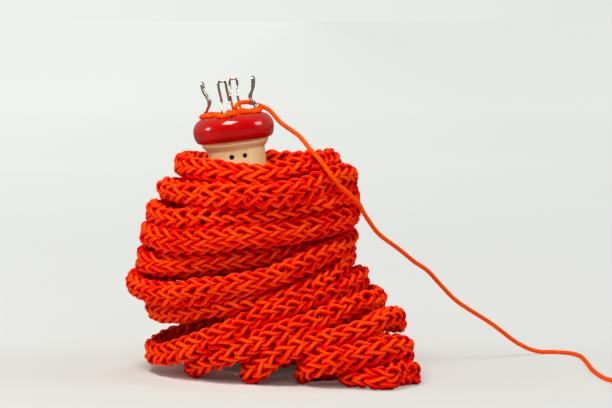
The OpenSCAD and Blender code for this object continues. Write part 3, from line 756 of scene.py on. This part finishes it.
def eye(name, turn, height, radius, rings=8, spokes=36):
    """Painted dot: a low dome laid on the neck. At r from its middle it stands 0.12 mm times 1 - r squared
    above its edge, which goes straight down into the wood and is closed there by a flat face."""
    r = np.append(np.linspace(0, 1, rings + 1)[1:], 1.0)[:, None]
    t = (np.arange(spokes) * TAU / spokes)[None, :]
    across, up = np.append(0.0, radius * r * np.cos(t)), np.append(0.0, radius * r * np.sin(t))
    dome = PAINT_DOME * (1 - r ** 2) + PAINT_EDGE
    dome[-1] = PAINT_SUNK
    out = NECK_R + np.append(PAINT_DOME + PAINT_EDGE, dome + 0 * t)
    angle = turn + across / NECK_R
    points = stood(np.stack([out * np.cos(angle), out * np.sin(angle), height + up], axis=-1))
    i, j = np.meshgrid(np.arange(rings), np.arange(spokes), indexing="ij")
    k = (j + 1) % spokes
    quads = 1 + np.stack([i * spokes + j, (i + 1) * spokes + j, (i + 1) * spokes + k, i * spokes + k], axis=-1)
    j = np.arange(spokes)
    fan = np.stack([0 * j, 1 + j, 1 + (j + 1) % spokes], axis=-1)
    base = (1 + rings * spokes + j)[None, ::-1]
    dot = new_piece(name, points, [fan, quads.reshape(-1, 4), base], ENAMEL)
    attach(dot, "nancy")


eye("eye_left", turn=math.radians(-98.6), height=65.2, radius=1.28)
eye("eye_right", turn=math.radians(-71.7), height=65.3, radius=1.2)

# The wire hooks

WIRE_SIDES = 14


def hook_path():
    """Hook on the right: a leg up through its bends, a flat top with round corners and the same leg down."""
    corner_r = WIRE_D
    leg_top = HOOK_H - WIRE_D / 2 - corner_r
    rise, lean = HOOK_BENDS.T
    bends = smooth(np.stack([lean * WIRE_D, 0 * rise, rise * leg_top], axis=-1), steps=8)
    leg = np.vstack([[HOOK_R, -LEG_GAP / 2, NANCY_H - LEG_DEPTH], bends + [HOOK_R, -LEG_GAP / 2, NANCY_H]])
    s, c = quarter(10)
    corner = leg[-1] + np.stack([0 * s, corner_r * (1 - c), corner_r * s], axis=-1)[1:]
    half = np.vstack([leg, corner])
    return np.vstack([half, half[::-1] * [1, -1, 1]])


for name, quarters in HOOKS:
    turn = quarters * math.pi / 2 + HOOK_TURN
    line = stood(turned_round(hook_path(), turn))
    ref = stood(turned_round(SIDEWAYS, turn)) - STAND
    hook = tube_piece("hook_%s_wire" % name, line, unit(ref), WIRE_D / 2, WIRE_SIDES, WIRE)
    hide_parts("hook_" + name)
    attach(hook, "nancy")

# Floor, light and background

BACKGROUND = "#EBEDE8"
# how bright the table looks at so many metres from the middle of the light, which makes up for its falling off
GLOW = ((0, 0.72), (0.24, 0.78), (0.55, 0.985), (0.92, 1.18), (1.27, 1.364), (1.84, 1.535), (3.5, 1.67))
GLOW_REACH, GLOW_FULL = 4.0, 2
FLOOR_HALF = 40000.0


def pale_floor():
    """Matt pale table top with the faintest cloudiness. To the eye it glows like the bright background and
    keeps part of the object's shadow; under the pile the glow is dimmed into a painted shadow, and near the
    pile it is tinted as painted orange bounce light."""
    material = bare_material("matt_pale_table")
    tree = material.node_tree
    place = add(tree, "ShaderNodeTexCoord").outputs["Object"]
    rays = add(tree, "ShaderNodeLightPath")
    # clouds about 400 mm across
    cloud = add(tree, "ShaderNodeTexNoise", {"Vector": place, "Scale": 1 / 0.4, "Detail": 1.0})
    colour = add(tree, "ShaderNodeValToRGB", {0: cloud}, stops=[
        (0.3, linear("#E9E9E5")), (0.7, linear("#EDEDEA"))])
    shader = add(tree, "ShaderNodeBsdfPrincipled", {
        "Base Color": colour, "Roughness": 0.9, "Specular IOR Level": 0.1})
    # under the pile, an oval of 136 by 110 mm, the glow gives way to the true shadow, and what is left of it
    #     is dimmed to a quarter: a painted shadow
    oval = add(tree, "ShaderNodeMapping", {
        "Vector": place, "Location": (-0.07, 0.22, 0), "Scale": (1 / 0.068, 1 / 0.055, 0)})
    off_pile = add(tree, "ShaderNodeVectorMath", {0: oval}, operation="LENGTH").outputs["Value"]
    share = add(tree, "ShaderNodeMapRange", {
        0: off_pile, "From Min": 0.8, "From Max": 1.25, "To Min": 0.16, "To Max": 0.55})
    painted_shadow_dim = add(tree, "ShaderNodeMapRange", {
        0: off_pile, "From Min": 0.8, "From Max": 1.25, "To Min": 0.25, "To Max": 1.0})
    seen = add(tree, "ShaderNodeMath", {0: rays.outputs["Is Camera Ray"], 1: share}, operation="MULTIPLY")
    # the glow grows with the distance from the middle of the light and is a little weaker on the right
    lamp = add(tree, "ShaderNodeVectorMath", {0: place, 1: (0, -0.25, 0)}, operation="DISTANCE")
    reach = add(tree, "ShaderNodeMath", {0: lamp.outputs["Value"], 1: GLOW_REACH}, operation="DIVIDE")
    ramp = add(tree, "ShaderNodeValToRGB", {0: reach}, stops=[
        (far / GLOW_REACH, (bright / GLOW_FULL,) * 3 + (1,)) for far, bright in GLOW])
    across = add(tree, "ShaderNodeSeparateXYZ", {0: place})
    side = add(tree, "ShaderNodeMapRange", {
        0: across.outputs[0], "From Min": -0.4, "From Max": 0.4, "To Min": 2.12, "To Max": 1.92})
    strength = add(tree, "ShaderNodeMath", {0: ramp, 1: side}, operation="MULTIPLY")
    shone = add(tree, "ShaderNodeMath", {0: strength, 1: painted_shadow_dim}, operation="MULTIPLY")
    # painted bounce light: near the pile the glow is tinted warm, as the orange yarn would light it
    apart = add(tree, "ShaderNodeMapRange", {0: off_pile, "From Min": 0.9, "From Max": 3.0})
    painted_bounce_tint = add(tree, "ShaderNodeValToRGB", {0: apart}, stops=[
        (0.0, linear("#EAE6D8")), (1.0, linear(BACKGROUND))])
    glow = add(tree, "ShaderNodeEmission", {"Strength": shone, "Color": painted_bounce_tint})
    both = add(tree, "ShaderNodeMixShader", {0: seen, 1: shader, 2: glow})
    # in the gloss of cap and wire the table is dull, as in a darkened studio
    dull = add(tree, "ShaderNodeEmission", {"Color": linear("#6E6A66"), "Strength": 1.0})
    table = add(tree, "ShaderNodeMixShader", {0: rays.outputs["Is Glossy Ray"], 1: both, 2: dull})
    add(tree, "ShaderNodeOutputMaterial", {"Surface": table})
    return material


floor_corners = np.array([[-1, -1, 0], [1, -1, 0], [1, 1, 0], [-1, 1, 0]]) * FLOOR_HALF
floor = new_piece("floor", floor_corners, [np.array([[0, 1, 2, 3]])], pale_floor())


def studio_lamp(name, kind, place, target, power, **settings):
    """Lamp of a kind at a place in metres, facing a target."""
    data = bpy.data.lights.new(name, kind)
    data.energy = power
    for key, value in settings.items():
        setattr(data, key, value)
    lamp = bpy.data.objects.new(name, data)
    bpy.context.scene.collection.objects.link(lamp)
    lamp.location = place
    x, y, z = np.array(target) - np.array(place)
    lamp.rotation_euler = (math.atan2(math.hypot(x, y), -z), 0, math.atan2(y, x) - math.pi / 2)
    return lamp


MIDDLE = (0.0, 0.0, 0.1)
studio_lamp("top_box", "AREA", (-0.3, -0.45, 1.3), (0.0, 0.0, 0.06), 15.5, size=0.55)
# the fill from the front is a broad bounce that leaves no spot of its own in the gloss
studio_lamp("front_box", "AREA", (0.1, -1.3, 0.95), MIDDLE, 3.6, size=0.5).visible_glossy = False
# and a snooted lamp brings out the neck under the shade of the cap
studio_lamp("neck_snoot", "SPOT", (0.05, -1.2, 1.04), (-0.012, -0.015, 0.114), 135.0,
            spot_size=math.radians(2.2), spot_blend=1.0, shadow_soft_size=0.04).visible_glossy = False
studio_lamp("left_box", "AREA", (-1.2, -0.2, 0.5), MIDDLE, 3.4, size=0.3)
studio_lamp("right_box", "AREA", (1.1, -0.15, 0.75), MIDDLE, 4.2, size=0.45)


def studio_room():
    """World: a dim even light for the object, a dim room with a bright backdrop for its gloss, and the pale
    backdrop, a little brighter on the left, for the eye."""
    world = bpy.data.worlds.new("studio")
    world.use_nodes = True
    tree = world.node_tree
    tree.nodes.clear()
    rays = add(tree, "ShaderNodeLightPath")
    heading = add(tree, "ShaderNodeSeparateXYZ", {0: add(tree, "ShaderNodeTexCoord").outputs["Generated"]})
    lit = add(tree, "ShaderNodeBackground", {"Color": linear("#F4F6FA"), "Strength": 0.16})
    # gloss mirrors a dim room in front of the object and the bright backdrop behind it
    behind = add(tree, "ShaderNodeMapRange", {0: heading.outputs[1], "From Min": -0.55, "From Max": 0.25},
                 interpolation_type="SMOOTHSTEP")
    room = add(tree, "ShaderNodeValToRGB", {0: behind}, stops=[
        (0.0, linear("#3C3A38")), (1.0, linear(BACKGROUND))])
    mirrored = add(tree, "ShaderNodeBackground", {"Color": room, "Strength": 0.3})
    left_right = add(tree, "ShaderNodeMapRange", {0: heading.outputs[0], "From Min": -0.12, "From Max": 0.12})
    sky = add(tree, "ShaderNodeValToRGB", {0: left_right}, stops=[
        (0.0, linear("#EFF1ED")), (1.0, linear("#E4E7E2"))])
    shown = add(tree, "ShaderNodeBackground", {"Color": sky, "Strength": 1.0})
    glossy = add(tree, "ShaderNodeMixShader", {0: rays.outputs["Is Glossy Ray"], 1: lit, 2: mirrored})
    whole = add(tree, "ShaderNodeMixShader", {0: rays.outputs["Is Camera Ray"], 1: glossy, 2: shown})
    add(tree, "ShaderNodeOutputWorld", {"Surface": whole})
    return world


bpy.context.scene.world = studio_room()
bpy.context.scene.view_settings.view_transform = "Standard"
